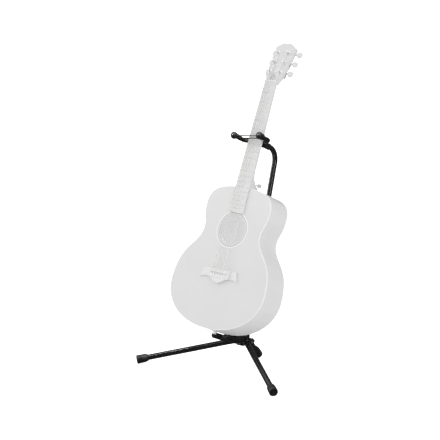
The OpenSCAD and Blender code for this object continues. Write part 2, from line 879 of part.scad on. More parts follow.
module hub() {
    color(paint) difference() {
        union() {
            in_hub() translate([0, 0, -20]) cylinder(h = 30, r = core_r);
            in_hub() box([-12, plate_y, -19], [12, 0, 20]);
            in_mast() translate([0, 0, -8]) cylinder(h = socket_len + 8, d = socket_d);
            ears(left_turn, pivot_drop, leg_angle);
            ears(right_turn, pivot_drop, leg_angle);
            ears(rear_turn, rear_drop, rear_angle);
        }
        in_mast() translate([0, 0, -4]) cylinder(h = 80, d = lower_d + 2 * fix_gap);
        in_hub() translate([0, plate_y - 1, bolt_z]) rotate([-90, 0, 0])
            cylinder(h = bolt_len + 2, d = bolt_d + 2 * fix_gap, $fn = 32);
    }
}

module leg_rivets() {
    color(steel) for (leg = [[left_turn, pivot_drop], [right_turn, pivot_drop],
                             [rear_turn, rear_drop]])
        in_leg(leg[0], leg[1]) rotate([90, 0, 0]) {
            half = ear_in + ear_t;
            cylinder(h = 2 * half, d = rivet_d, center = true);
            for (side = [-1, 1]) translate([0, 0, side * (half + 1)])
                cylinder(h = 2, d = rivet_d + 4, center = true);
        }
}

module leg(turn, drop, pitch, length) {
    color(paint) in_leg(turn, drop) rotate([0, pitch, 0]) difference() {
        union() {
            rotate([90, 0, 0]) cylinder(h = lug_t, r = lug_r, center = true);
            box([0, -lug_t / 2, -lug_r], [18, lug_t / 2, lug_r]);
            translate([12, 0, 0]) rotate([0, 90, 0]) cylinder(h = length - 16, d = leg_d);
        }
        rotate([90, 0, 0]) cylinder(h = 60, d = rivet_d + 2 * run_gap, center = true);
        translate([20, 0, 0]) rotate([0, 90, 0])
            cylinder(h = length, d = leg_d - 2 * tube_wall);
    }
}

module foot(turn, drop, pitch, length) {
    color(rubber) difference() {
        in_leg(turn, drop) rotate([0, pitch, 0]) translate([length, 0, 0]) rotate([0, -90, 0])
            difference() {
                rotate_extrude() polygon([[0, 0], [foot_d / 2, 0], [foot_d / 2, 12],
                    [foot_d / 2 - 1.2, foot_len - 2], [foot_d / 2 - 3, foot_len],
                    [0, foot_len]]);
                translate([0, 0, 4]) cylinder(h = foot_len, d = leg_d + 2 * fix_gap);
            }
        translate([-600, -600, -100]) cube([1200, 1200, 100]);
    }
}

module left_leg() { leg(left_turn, pivot_drop, leg_angle, leg_len); }
module right_leg() { leg(right_turn, pivot_drop, leg_angle, leg_len); }
module rear_leg() { leg(rear_turn, rear_drop, rear_angle, rear_len); }
module left_foot() { foot(left_turn, pivot_drop, leg_angle, leg_len); }
module right_foot() { foot(right_turn, pivot_drop, leg_angle, leg_len); }
module rear_foot() { foot(rear_turn, rear_drop, rear_angle, rear_len); }

// ---- Stand: mast ----
module lower_tube() {
    color(paint) in_mast() pipe(lower_d, tube_wall - 0.2, -4, lower_len);
}

module clamp_collar() {
    color(paint) in_mast() difference() {
        union() {
            translate([0, 0, collar_s]) cylinder(h = collar_h, d = collar_d);
            translate([0, 0, stud_s]) rotate([-90, 0, 0]) cylinder(h = boss_y, d = 15);
        }
        translate([0, 0, collar_s - 1]) cylinder(h = lower_len - collar_s + 1,
                                                 d = lower_d + 2 * fix_gap);
        translate([0, 0, collar_s]) cylinder(h = collar_h + 1, d = upper_d + 2 * run_gap);
        translate([0, 0, stud_s]) rotate([-90, 0, 0])
            cylinder(h = boss_y + 1, d = stud_d + 2 * run_gap);
    }
}

module clamp_knob() {
    color(rubber) in_mast() translate([0, 0, stud_s]) rotate([-90, 0, 0]) {
        translate([0, 0, upper_d / 2 + face_gap])
            cylinder(h = boss_y - upper_d / 2 + 6, d = stud_d);
        difference() {
            translate([0, 0, boss_y + face_gap]) cylinder(h = 15, d = knob_d);
            for (k = [0:5]) rotate([0, 0, 60 * k]) translate([knob_d / 2 + 4, 0, boss_y])
                cylinder(h = 20, d = 13);
        }
    }
}

module upper_tube() {
    color(paint) {
        in_mast() pipe(upper_d, tube_wall, lower_len - mast_overlap, bend_s);
        in_mast() translate([0, -bend_r, bend_s]) rotate([0, -90, 0]) bend_pipe();
        in_lean() translate([0, yoke_v, 0])
            pipe(upper_d, tube_wall, bend_end_w, sleeve_w + tube_in_sleeve);
    }
}

// The bend starts at the top of the straight tube and curls forwards.
module bend_pipe() {
    rotate([0, 0, 90 - bend_turn]) rotate_extrude(angle = bend_turn, $fn = 96)
        translate([bend_r, 0]) ring_2d(upper_d, upper_d - 2 * tube_wall);
}

module swivel_sleeve() {
    color(paint) in_lean() translate([0, yoke_v, sleeve_w]) difference() {
        union() {
            cylinder(h = sleeve_len, d = sleeve_d);
            translate([0, 0, sleeve_len - 5]) cylinder(h = 5, d = sleeve_d + 2);
        }
        translate([0, 0, -1]) cylinder(h = tube_in_sleeve + 1, d = upper_d + 2 * fix_gap);
        cylinder(h = sleeve_len + 1, d = stem_d + 2 * run_gap);
    }
}

// ---- Stand: yoke ----
// The U-shaped rod of the yoke, or a tube of that course with a hole of the given size.
module yoke_u(d, hole, tip) {
    reach = yoke_half - yoke_bend;
    translate([-reach, 0, bar_w]) rotate([0, 90, 0]) linear_extrude(2 * reach) ring_2d(d, hole);
    for (side = [0, 1]) mirror([side, 0, 0]) {
        translate([reach, 0, bar_w + yoke_bend]) rotate([90, 0, 0]) rotate([0, 0, -90])
            rotate_extrude(angle = 90) translate([yoke_bend, 0]) ring_2d(d, hole);
        translate([yoke_half, 0, bar_w + yoke_bend])
            linear_extrude(tip - bar_w - yoke_bend) ring_2d(d, hole);
    }
}

stem_low = sleeve_w + tube_in_sleeve + 2;

module yoke_frame() {
    color(paint) in_yoke() {
        yoke_u(yoke_rod, 0, ball_w);
        translate([0, 0, stem_low]) cylinder(h = bar_w - stem_low, d = stem_d);
    }
}

module yoke_sleeve() {
    color(rubber) in_yoke() difference() {
        yoke_u(yoke_pad, yoke_rod + 2 * fix_gap, ball_w - ball_d / 2 + 1);
        translate([0, 0, bar_w - 30]) cylinder(h = 30, d = stem_d + 2 * fix_gap);
    }
}

module yoke_balls() {
    color(rubber) in_yoke() for (side = [-1, 1]) translate([side * yoke_half, 0, 0]) difference() {
        translate([0, 0, ball_w]) sphere(d = ball_d);
        cylinder(h = ball_w + 0.1, d = yoke_rod + 2 * fix_gap);
        translate([0, 0, 0]) cylinder(h = ball_w - ball_d / 2 + 1.1, d = yoke_pad + 2 * fix_gap);
    }
}

// The strap is a slotted rubber band: a ring that turns on the right prong, and an open hook
// that snaps over the left prong from above.
module neck_strap() {
    ring = yoke_pad / 2 + 3;
    color(rubber) in_yoke() translate([yoke_half, 0, strap_plane]) difference() {
        union() {
            cylinder(h = strap_t, r = ring);
            translate([-2 * yoke_half, 0, 0]) cylinder(h = strap_t, r = ring);
            box([-2 * yoke_half, -strap_w / 2, 0], [0, strap_w / 2, strap_t]);
        }
        translate([0, 0, -1]) cylinder(h = strap_t + 2, d = yoke_pad + 2 * run_gap);
        translate([-2 * yoke_half, 0, -1])
            cylinder(h = strap_t + 2, d = yoke_pad + 2 * face_gap);
        box([-2 * yoke_half - yoke_pad / 2 - face_gap, -2 * ring, -1],
            [-2 * yoke_half + yoke_pad / 2 + face_gap, 0, strap_t + 1]);
        box([-1.64 * yoke_half, -strap_w / 2 + 2.8, -1],
            [-0.36 * yoke_half, strap_w / 2 - 2.8, strap_t + 1]);
    }
}

// ---- Stand: cradle ----
bolt_d = 6;
bolt_len = 14;
bolt_z = -9;
arm_cap = 5;

// One arm of the cradle's bent rod, from the cross bar's corner to the arm's tip, or a tube of
// that course. The arm leaves the cross bar level and slopes up under the body. A tube's elbow is
// a little thinner all round than its straight runs, which lap over it at both ends.
module arm_path(d, hole, back_trim, cap) {
    tan_len = arm_rise_r * tan(lean / 2);
    flat_end = knee_y + tan_len;
    rod_end = arm_reach - arm_cap - knee_w - tan_len;
    thin = hole > 0 ? 0.2 : 0;
    lap = hole > 0 ? 0.6 : 0;
    round = 4;
    in_hub() translate([arm_half, flat_end, arm_rise + arm_rise_r])
        rotate([0, -90, 0]) rotate([0, 0, 180]) {
            translate([arm_rise_r, lap, 0]) rotate([90, 0, 0])
                linear_extrude(bar_y - arm_bend - back_trim - flat_end + lap) ring_2d(d, hole);
            rotate_extrude(angle = lean) translate([arm_rise_r, 0])
                ring_2d(d - 2 * thin, hole > 0 ? hole + 2 * thin : 0);
            rotate([0, 0, lean]) translate([arm_rise_r, -lap, 0]) rotate([-90, 0, 0])
                if (cap > 0) rotate_extrude() polygon([[hole / 2, 0], [d / 2, 0],
                    [d / 2, lap + rod_end + cap - round], [d / 2 - round, lap + rod_end + cap],
                    [0, lap + rod_end + cap], [0, lap + rod_end], [hole / 2, lap + rod_end]]);
                else linear_extrude(rod_end) ring_2d(d, hole);
        }
}

module cradle_frame() {
    reach = arm_half - arm_bend;
    color(paint) {
        for (side = [0, 1]) mirror([side, 0, 0]) {
            arm_path(arm_rod, 0, 0, 0);
            in_hub() translate([reach, bar_y - arm_bend, arm_rise])
                rotate_extrude(angle = 90) translate([arm_bend, 0]) circle(d = arm_rod);
        }
        in_hub() translate([-reach, bar_y, arm_rise]) rotate([0, 90, 0])
            cylinder(h = 2 * reach, d = arm_rod);
        in_hub() difference() {
            box([-12, plate_y - 4, -18], [12, plate_y, 19]);
            translate([0, plate_y - 5, bolt_z]) rotate([-90, 0, 0])
                cylinder(h = 6, d = bolt_d + 2 * fix_gap, $fn = 32);
        }
    }
}

module cradle_sleeves() {
    color(rubber) for (side = [0, 1]) mirror([side, 0, 0])
        arm_path(arm_pad, arm_rod + 2 * fix_gap, 2, arm_cap);
}

module cradle_bolt() {
    color(steel) in_hub() translate([0, plate_y, bolt_z]) rotate([-90, 0, 0]) {
        translate([0, 0, -4]) cylinder(h = bolt_len + 4, d = bolt_d, $fn = 32);
        translate([0, 0, -8.5]) cylinder(h = 4.5, d = 11);
    }
}

soundboard();
back_plate();
sides();
linings();
neck_block();
end_block();
top_braces();
back_braces();
bridge_plate();
rosette();
binding();
neck();
truss_rod();
fretboard();
frets();
fret_markers();
nut();
head_plate();
truss_cover();
tuner_housings();
tuner_bushings();
bridge();
saddle();
bridge_pins();
strings();
end_pin();
strap_button();
tuner_button_1();
tuner_button_2();
tuner_button_3();
tuner_button_4();
tuner_button_5();
tuner_button_6();
string_post_1();
string_post_2();
string_post_3();
string_post_4();
string_post_5();
string_post_6();
hub();
leg_rivets();
left_leg();
right_leg();
rear_leg();
left_foot();
right_foot();
rear_foot();
lower_tube();
clamp_collar();
clamp_knob();
upper_tube();
swivel_sleeve();
yoke_frame();
yoke_sleeve();
yoke_balls();
neck_strap();
cradle_frame();
cradle_sleeves();
cradle_bolt();
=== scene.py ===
import json
import math

import bmesh
import bpy
from mathutils import Matrix, Vector

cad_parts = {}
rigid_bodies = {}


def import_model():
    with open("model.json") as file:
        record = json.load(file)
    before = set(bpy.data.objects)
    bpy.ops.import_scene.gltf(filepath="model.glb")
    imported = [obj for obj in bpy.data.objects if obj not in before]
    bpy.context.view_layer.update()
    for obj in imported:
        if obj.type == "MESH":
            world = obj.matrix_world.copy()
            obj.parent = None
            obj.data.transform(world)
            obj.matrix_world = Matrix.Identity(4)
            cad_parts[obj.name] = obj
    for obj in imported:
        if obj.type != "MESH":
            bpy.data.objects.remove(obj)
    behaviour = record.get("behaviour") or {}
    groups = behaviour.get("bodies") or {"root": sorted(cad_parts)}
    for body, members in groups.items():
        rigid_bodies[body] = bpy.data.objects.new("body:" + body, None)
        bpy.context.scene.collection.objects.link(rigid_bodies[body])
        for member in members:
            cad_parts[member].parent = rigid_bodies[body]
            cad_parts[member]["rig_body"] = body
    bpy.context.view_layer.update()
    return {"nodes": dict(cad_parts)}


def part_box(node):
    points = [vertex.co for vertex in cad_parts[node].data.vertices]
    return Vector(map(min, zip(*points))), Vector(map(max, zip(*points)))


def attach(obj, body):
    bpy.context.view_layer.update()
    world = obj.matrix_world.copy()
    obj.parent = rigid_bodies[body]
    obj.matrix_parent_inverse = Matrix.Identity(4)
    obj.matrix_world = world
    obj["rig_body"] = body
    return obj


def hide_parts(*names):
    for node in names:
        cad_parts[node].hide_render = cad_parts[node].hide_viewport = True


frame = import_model()

# ---------------------------------------------------------------- camera, light and floor
# A product studio: a long lens a little above the object, a white sweep under and behind it,
# and large soft sources that draw one clean white line along each black tube.
MM = 0.001
GUITAR_TAIL = Vector((0, -107.604, 126)) * MM
GUITAR_LEAN = math.radians(23.4)
SIDE_LEAN = math.radians(1)

azimuth, pitch = math.radians(37.6), math.radians(12)
camera_back = Vector((math.sin(azimuth) * math.cos(pitch), -math.cos(azimuth) * math.cos(pitch),
                      math.sin(pitch)))
camera_right = Vector((math.cos(azimuth), math.sin(azimuth), 0))
camera_up = camera_back.cross(camera_right)
camera = bpy.data.objects.new("camera", bpy.data.cameras.new("camera"))
LEFT_OF_TAIL, ABOVE_TAIL, DISTANCE = 0.013, 0.374, 4.914
camera.location = (GUITAR_TAIL - LEFT_OF_TAIL * camera_right + ABOVE_TAIL * camera_up
                   + DISTANCE * camera_back)
camera.rotation_mode = "QUATERNION"
camera.rotation_quaternion = (-camera_back).to_track_quat("-Z", "Y")
SENSOR, WIDTH_SEEN = 36, 440 / 1500      # mm, and the picture's width over the distance to it
camera.data.sensor_width = SENSOR
camera.data.lens = SENSOR / WIDTH_SEEN
camera.data.clip_end = 60
bpy.context.scene.collection.objects.link(camera)
bpy.context.scene.camera = camera
bpy.context.scene.view_settings.view_transform = "Standard"
bpy.context.scene.view_settings.look = "None"


def linear(code):
    """An sRGB hex colour as linear numbers, opaque."""
    parts = [int(code[i:i + 2], 16) / 255 for i in (1, 3, 5)]
    return [c / 12.92 if c <= 0.04045 else ((c + 0.055) / 1.055) ** 2.4 for c in parts] + [1.0]


def add_node(tree, kind, settings=(), inputs=(), links=()):
    """A shader node with its settings, input values and links (from node, output, input)."""
    made = tree.nodes.new(kind)
    for name, value in dict(settings).items():
        setattr(made, name, value)
    for name, value in dict(inputs).items():
        made.inputs[name].default_value = value
    for source, output, name in links:
        tree.links.new(source.outputs[output], made.inputs[name])
    return made


# The room is white to matt surfaces, whiter still behind the object, and dark in reflections,
# so that only the strip lamps draw highlights.
world = bpy.data.worlds.new("white studio")
bpy.context.scene.world = world
world.use_nodes = True
sky = world.node_tree
sky.nodes.clear()
seen = add_node(sky, "ShaderNodeLightPath")
backdrop_light, room_light, dark_room = (
    add_node(sky, "ShaderNodeBackground", inputs={"Color": linear("#ffffff"), "Strength": level})
    for level in (1.15, 0.96, 0.1))
unseen = add_node(sky, "ShaderNodeMixShader",
                  links=[(seen, "Is Glossy Ray", 0), (room_light, 0, 1), (dark_room, 0, 2)])
both = add_node(sky, "ShaderNodeMixShader",
                links=[(seen, "Is Camera Ray", 0), (unseen, 0, 1), (backdrop_light, 0, 2)])
add_node(sky, "ShaderNodeOutputWorld", links=[(both, 0, "Surface")])

for name, place, aim, size, watts, on_matt in (
        ("key softbox", (-1.7, -2.6, 2.7), (0, 0, 0.5), (1.2, 1.2), 10, True),
        ("side strip", (2.6, -1.2, 1.5), (0, 0, 0.5), (0.2, 2.2), 20, False),
        ("left strip", (-2.4, -0.9, 1.3), (0, 0, 0.4), (0.25, 2.2), 36, False),
        ("top strip", (0.4, -0.6, 3.0), (0, 0, 0.3), (2.6, 0.3), 130, False)):
    lamp = bpy.data.objects.new(name, bpy.data.lights.new(name, "AREA"))
    lamp.data.shape = "RECTANGLE"
    lamp.data.size, lamp.data.size_y = size
    lamp.data.energy = watts
    lamp.visible_diffuse = on_matt
    lamp.location = place
    lamp.rotation_mode = "QUATERNION"
    lamp.rotation_quaternion = (Vector(aim) - Vector(place)).to_track_quat("-Z", "Y")
    bpy.context.scene.collection.objects.link(lamp)


def new_material(name):
    """An empty node material: its tree, its Principled shader and its Object coordinates."""
    made = bpy.data.materials.new(name)
    made.use_nodes = True
    tree = made.node_tree
    tree.nodes.clear()
    skin = add_node(tree, "ShaderNodeBsdfPrincipled")
    add_node(tree, "ShaderNodeOutputMaterial", links=[(skin, 0, "Surface")])
    where = add_node(tree, "ShaderNodeTexCoord")
    return made, tree, skin, where


def link(tree, source, output, target, name):
    """One more link between two nodes."""
    tree.links.new(source.outputs[output], target.inputs[name])


def two_tones(tree, source, output, first, second):
    """A colour between two hex colours, by the value of the given output."""
    tone = add_node(tree, "ShaderNodeMix", settings={"data_type": "RGBA"},
                    links=[(source, output, 0)])
    tone.inputs[6].default_value = linear(first)
    tone.inputs[7].default_value = linear(second)
    return tone


# White matt paper: even, without grain at this distance, and bright enough to lose the horizon.
paper, tree, skin, where = new_material("white paper sweep")
fibre = add_node(tree, "ShaderNodeTexNoise", inputs={"Scale": 900.0, "Detail": 3.0},
                 links=[(where, "Object", "Vector")])
lift = add_node(tree, "ShaderNodeBump", inputs={"Strength": 0.05, "Distance": 0.0002},
                links=[(fibre, 0, "Height")])
link(tree, lift, 0, skin, "Normal")
skin.inputs["Base Color"].default_value = linear("#fbfbfb")
skin.inputs["Roughness"].default_value = 0.9
skin.inputs["Specular IOR Level"].default_value = 0.1
skin.inputs["Emission Color"].default_value = linear("#ffffff")
glow = add_node(tree, "ShaderNodeMath", settings={"operation": "MULTIPLY"},
                links=[(add_node(tree, "ShaderNodeLightPath"), "Is Camera Ray", 0)])
glow.inputs[1].default_value = 0.75
link(tree, glow, 0, skin, "Emission Strength")


def finish_mesh(mesh, name, place=None):
    """A bmesh as a new object at the origin, with its place in its mesh."""
    if place is not None:
        bmesh.ops.transform(mesh, matrix=place, verts=mesh.verts)
    data = bpy.data.meshes.new(name)
    mesh.to_mesh(data)
    mesh.free()
    made = bpy.data.objects.new(name, data)
    bpy.context.scene.collection.objects.link(made)
    return made


FLOOR_HALF, UNDER_FEET = 14, 0.0004
floor_mesh = bmesh.new()
bmesh.ops.create_grid(floor_mesh, x_segments=2, y_segments=2, size=FLOOR_HALF)
floor = finish_mesh(floor_mesh, "studio_floor", Matrix.Translation((0, 0, -UNDER_FEET)))
floor.data.materials.append(paper)
floor.visible_glossy = False

# ---------------------------------------------------------------- body of the guitar
# A spruce soundboard on bent sides with a glued back, sprayed with a pale grey satin lacquer
# so thin that the grain still shows as faint lines along the body.
GUITAR_AXES = (Matrix.Translation(GUITAR_TAIL)
               @ Matrix.Rotation(math.radians(90) - GUITAR_LEAN, 4, "X")
               @ Matrix.Rotation(-SIDE_LEAN, 4, "Z"))
IN_GUITAR = GUITAR_AXES @ Matrix.Scale(MM, 4)
GRAIN_TURN = GUITAR_AXES.to_3x3().inverted().to_euler()
SMOOTH_LIMIT, BEVEL_LIMIT, FLAT_LIMIT = (math.radians(a) for a in (32, 40, 0.3))
SAME_POINT = 2e-6


def from_cad(node, bevel=0.0, segments=2):
    """A clean copy of a CAD node with rounded edges, which stands for it and rides with it."""
    mesh = bmesh.new()
    mesh.from_mesh(frame["nodes"][node].data)
    bmesh.ops.remove_doubles(mesh, verts=mesh.verts, dist=SAME_POINT)
    bmesh.ops.dissolve_limit(mesh, angle_limit=FLAT_LIMIT, verts=mesh.verts,
                             edges=mesh.edges)
    made = finish_mesh(mesh, node + "_finished")
    made.data.polygons.foreach_set("use_smooth", [True] * len(made.data.polygons))
    made.data.set_sharp_from_angle(angle=SMOOTH_LIMIT)
    made.data.materials.clear()
    if bevel:
        edge = made.modifiers.new("rounded edges", "BEVEL")
        edge.width = bevel * MM
        edge.segments = segments
        edge.limit_method = "ANGLE"
        edge.angle_limit = BEVEL_LIMIT
        edge.harden_normals = True
        edge.use_clamp_overlap = True
    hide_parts(node)
    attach(made, frame["nodes"][node]["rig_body"])
    return made


def line_scale(spacing):
    """The scale of a wave texture whose lines are this many metres apart."""
    return 1 / spacing / 20 * math.pi


def lacquered_wood(name, colour, dark, line_mm, rough, coat, line_share=0.5, pore=0.0):
    """Wood under lacquer: straight grain lines line_mm apart, running along the guitar."""
    made, tree, skin, where = new_material(name)
    turn = add_node(tree, "ShaderNodeMapping", inputs={"Rotation": GRAIN_TURN},
                    links=[(where, "Object", "Vector")])
    drift = add_node(tree, "ShaderNodeTexNoise", inputs={"Scale": 7.0, "Detail": 2.0},
                     links=[(turn, 0, "Vector")])
    lines = add_node(tree, "ShaderNodeTexWave",
                     settings={"wave_type": "BANDS", "bands_direction": "X",
                               "wave_profile": "SAW"},
                     inputs={"Scale": line_scale(line_mm * MM), "Distortion": 1.2,
                             "Detail": 2.0, "Detail Scale": 0.6},
                     links=[(turn, 0, "Vector")])
    stretch = add_node(tree, "ShaderNodeMapping", inputs={"Scale": (900, 40, 900)},
                       links=[(turn, 0, "Vector")])
    pores = add_node(tree, "ShaderNodeTexNoise", inputs={"Scale": 1.0, "Detail": 3.0,
                                                         "Roughness": 0.6},
                     links=[(stretch, 0, "Vector")])
    share = add_node(tree, "ShaderNodeMath", settings={"operation": "MULTIPLY"},
                     links=[(lines, 1, 0)])
    share.inputs[1].default_value = line_share
    speck = add_node(tree, "ShaderNodeMath", settings={"operation": "MULTIPLY_ADD"},
                     links=[(pores, 0, 0), (share, 0, 2)])
    speck.inputs[1].default_value = 0.3 + pore
    tone = two_tones(tree, speck, 0, colour, dark)
    fade = add_node(tree, "ShaderNodeHueSaturation", links=[(tone, 2, "Color")])
    cloud = add_node(tree, "ShaderNodeMapRange",
                     inputs={"From Min": 0.3, "From Max": 0.7, "To Min": 0.985, "To Max": 1.015},
                     links=[(drift, 0, "Value")])
    link(tree, cloud, 0, fade, "Value")
    link(tree, fade, 0, skin, "Base Color")
    gloss = add_node(tree, "ShaderNodeMapRange",
                     inputs={"To Min": rough - 0.04, "To Max": rough + 0.06},
                     links=[(pores, 0, "Value")])
    link(tree, gloss, 0, skin, "Roughness")
    bump = add_node(tree, "ShaderNodeBump", inputs={"Strength": 0.12, "Distance": 0.0001},
                    links=[(speck, 0, "Height")])
    link(tree, bump, 0, skin, "Normal")
    skin.inputs["Coat Weight"].default_value = coat
    skin.inputs["Coat Roughness"].default_value = 0.12
    skin.inputs["IOR"].default_value = 1.5
    return made


# Quarter-sawn spruce: fine even lines, 1.6 mm apart, running from the tail to the neck.
spruce = lacquered_wood("lacquered spruce", "#e1e1e1", "#d8d8d8", 1.6, 0.42, 0.25)
# Mahogany sides and back: no clear lines, but short dark pores along the grain.
mahogany = lacquered_wood("lacquered mahogany", "#ededed", "#e0e0e0", 9.0, 0.4, 0.25,
                          line_share=0.2, pore=0.25)
# Bare spruce and mahogany inside the box, never lacquered, so duller and a little darker. It
# glows a little, because the sound hole of the faded guitar reads pale.
bare_wood = lacquered_wood("bare inner wood", "#dedede", "#cfcfcf", 2.4, 0.7, 0.0)
inner_skin = bare_wood.node_tree.nodes["Principled BSDF"]
inner_skin.inputs["Emission Color"].default_value = linear("#ffffff")
inner_skin.inputs["Emission Strength"].default_value = 0.21

# Each plate shows lacquer outside and bare wood inside. For the sides, inside is the way to the
# line between the middles of the two bouts.
TO_GUITAR = IN_GUITAR.inverted()
LOWER_BOUT, UPPER_BOUT = 120, 370
for node, finish in (("soundboard", spruce), ("back_plate", mahogany), ("sides", mahogany)):
    shell = from_cad(node, 0.25)
    shell.data.materials.append(finish)
    shell.data.materials.append(bare_wood)
    for face in shell.data.polygons:
        spot = TO_GUITAR @ face.center
        facing = (TO_GUITAR.to_3x3() @ face.normal).normalized()
        out = Vector((spot.x, spot.y - min(max(spot.y, LOWER_BOUT), UPPER_BOUT), 0))
        inner = {"soundboard": facing.z < -0.5, "back_plate": facing.z > 0.5,
                 "sides": facing.dot(out) < 0 and abs(facing.z) < 0.5}[node]
        face.material_index = int(inner)
for node in ("linings", "neck_block", "end_block", "top_braces", "back_braces", "bridge_plate"):
    shown = frame["nodes"][node]
    shown.data.materials.clear()
    shown.data.materials.append(bare_wood)


# ---------------------------------------------------------------- binding and rosette
# The binding is a white cellulose strip glued into a step round each edge and scraped round.
# The rosette is a ring of pale and grey veneers let into the soundboard round the hole.
def moulded(name, colour, rough, mottle, bump_mm, bump_scale, coat=0.0):
    """Plastic or rubber with a faint mottle and a fine moulded skin."""
    made, tree, skin, where = new_material(name)
    cloud = add_node(tree, "ShaderNodeTexNoise", inputs={"Scale": 60.0, "Detail": 4.0},
                     links=[(where, "Object", "Vector")])
    tone = two_tones(tree, cloud, 0, colour, mottle)
    link(tree, tone, 2, skin, "Base Color")
    grain = add_node(tree, "ShaderNodeTexNoise", inputs={"Scale": bump_scale, "Detail": 2.0},
                     links=[(where, "Object", "Vector")])
    bump = add_node(tree, "ShaderNodeBump", inputs={"Strength": 0.35, "Distance": bump_mm * MM},
                    links=[(grain, 0, "Height")])
    link(tree, bump, 0, skin, "Normal")
    gloss = add_node(tree, "ShaderNodeMapRange",
                     inputs={"To Min": rough - 0.06, "To Max": rough + 0.06},
                     links=[(cloud, 0, "Value")])
    link(tree, gloss, 0, skin, "Roughness")
    skin.inputs["Coat Weight"].default_value = coat
    return made


# White celluloid: a smooth, slightly glossy line round the body, a shade lighter than the wood.
white_celluloid = moulded("white celluloid", "#fbfbfb", 0.3, "#f4f4f4", 0.02, 700, coat=0.3)
from_cad("binding", 0.7, 3).data.materials.append(white_celluloid)

# Dyed veneers: pale rings with thin grey ones between them, flat and dull.
RING_STEP = 0.0035
grey_veneer, tree, skin, where = new_material("rosette veneers")
hole_centre = (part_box("rosette")[0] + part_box("rosette")[1]) / 2
rings_at = add_node(tree, "ShaderNodeMapping", settings={"vector_type": "TEXTURE"},
                    inputs={"Location": hole_centre,
                            "Rotation": GUITAR_AXES.to_3x3().to_euler()},
                    links=[(where, "Object", "Vector")])
rings = add_node(tree, "ShaderNodeTexWave",
                 settings={"wave_type": "RINGS", "rings_direction": "Z", "wave_profile": "SIN"},
                 inputs={"Scale": line_scale(RING_STEP), "Distortion": 0.0},
                 links=[(rings_at, 0, "Vector")])
step = add_node(tree, "ShaderNodeValToRGB", links=[(rings, 1, 0)])
step.color_ramp.interpolation = "CONSTANT"
step.color_ramp.elements[0].color = linear("#c4c4c4")
step.color_ramp.elements[1].position = 0.45
step.color_ramp.elements[1].color = linear("#f4f4f4")
link(tree, step, 0, skin, "Base Color")
skin.inputs["Roughness"].default_value = 0.4
from_cad("rosette").data.materials.append(grey_veneer)

# ---------------------------------------------------------------- neck, fretboard and nut
# A one-piece neck with a carved heel, a tapered fretboard with 20 nickel frets, round position
# dots, and a bone nut. The headstock has a glued veneer and a small cover over the truss rod.
# Neck wood: a satin skin over soft, wide lines.
neck_wood = lacquered_wood("satin neck wood", "#ebebeb", "#dddddd", 4.0, 0.5, 0.1,
                           line_share=0.35, pore=0.1)
# Fretboard and bridge wood: oiled, not lacquered, with close pores and no shine.
board_wood = lacquered_wood("oiled fretboard wood", "#e9e9e9", "#dadada", 1.1, 0.55, 0.0,
                            line_share=0.3, pore=0.35)
# Headstock veneer: the glossiest wood here.
veneer = lacquered_wood("headstock veneer", "#e3e3e3", "#d8d8d8", 2.0, 0.35, 0.4)
# Bone: near white, polished, with a faint cloudiness.
bone = moulded("polished bone", "#fafafa", 0.35, "#ececec", 0.01, 500)
# Pearloid plastic: cloudy pale grey under a clear shine.
pearl = moulded("pearl plastic", "#efefef", 0.25, "#dededf", 0.01, 200, coat=0.4)
# Laminate of the truss rod's cover: the darkest part of the headstock, smooth and plain.
grey_cover = moulded("grey laminate", "#c8c8c8", 0.35, "#bdbdbd", 0.01, 600)


def metal(name, colour, rough, scratch, bare=1.0):
    """Bare or plated metal with fine wear in its roughness; bare is how much shows as metal."""
    made, tree, skin, where = new_material(name)
    wear = add_node(tree, "ShaderNodeTexNoise", inputs={"Scale": scratch, "Detail": 5.0},
                    links=[(where, "Object", "Vector")])
    gloss = add_node(tree, "ShaderNodeMapRange",
                     inputs={"To Min": rough * 0.7, "To Max": rough * 1.4},
                     links=[(wear, 0, "Value")])
    link(tree, gloss, 0, skin, "Roughness")
    bump = add_node(tree, "ShaderNodeBump", inputs={"Strength": 0.1, "Distance": 0.00005},
                    links=[(wear, 0, "Height")])
    link(tree, bump, 0, skin, "Normal")
    skin.inputs["Base Color"].default_value = linear(colour)
    skin.inputs["Metallic"].default_value = bare
    return made


# Nickel: pale and frosted, so faded that little of it mirrors the room.
nickel = metal("frosted nickel silver", "#e2e2e2", 0.45, 400, bare=0.3)
for node, finish, edge in (("neck", neck_wood, 0.0), ("fretboard", board_wood, 0.8),
                           ("nut", bone, 0.7), ("head_plate", veneer, 0.0),
                           ("truss_cover", grey_cover, 0.35), ("fret_markers", pearl, 0.0),
                           ("frets", nickel, 0.0), ("truss_rod", nickel, 0.0)):
    from_cad(node, edge).data.materials.append(finish)

# ---------------------------------------------------------------- bridge, saddle and pins
# A belly bridge with flared ends, cut from one block, with its middle left thick. The bone
# saddle stands in a slot, and six pushed-in pins hold the strings' ball ends.
from_cad("bridge", 1.1, 3).data.materials.append(board_wood)
from_cad("saddle", 0.8, 3).data.materials.append(bone)
from_cad("bridge_pins", 0.0).data.materials.append(bone)
from_cad("end_pin", 0.6).data.materials.append(bone)
from_cad("strap_button", 0.5).data.materials.append(nickel)

# ---------------------------------------------------------------- tuners
# Each die-cast housing is screwed to the back of the headstock. Its shaft carries a pearloid
# button, and its post comes up through a domed bushing with the string wound round it.
for node in ("tuner_housings", "tuner_bushings"):
    from_cad(node, 0.5).data.materials.append(nickel)
for number in range(1, 7):
    from_cad(f"string_post_{number}", 0.35).data.materials.append(nickel)
    from_cad(f"tuner_button_{number}", 1.2, 3).data.materials.append(pearl)

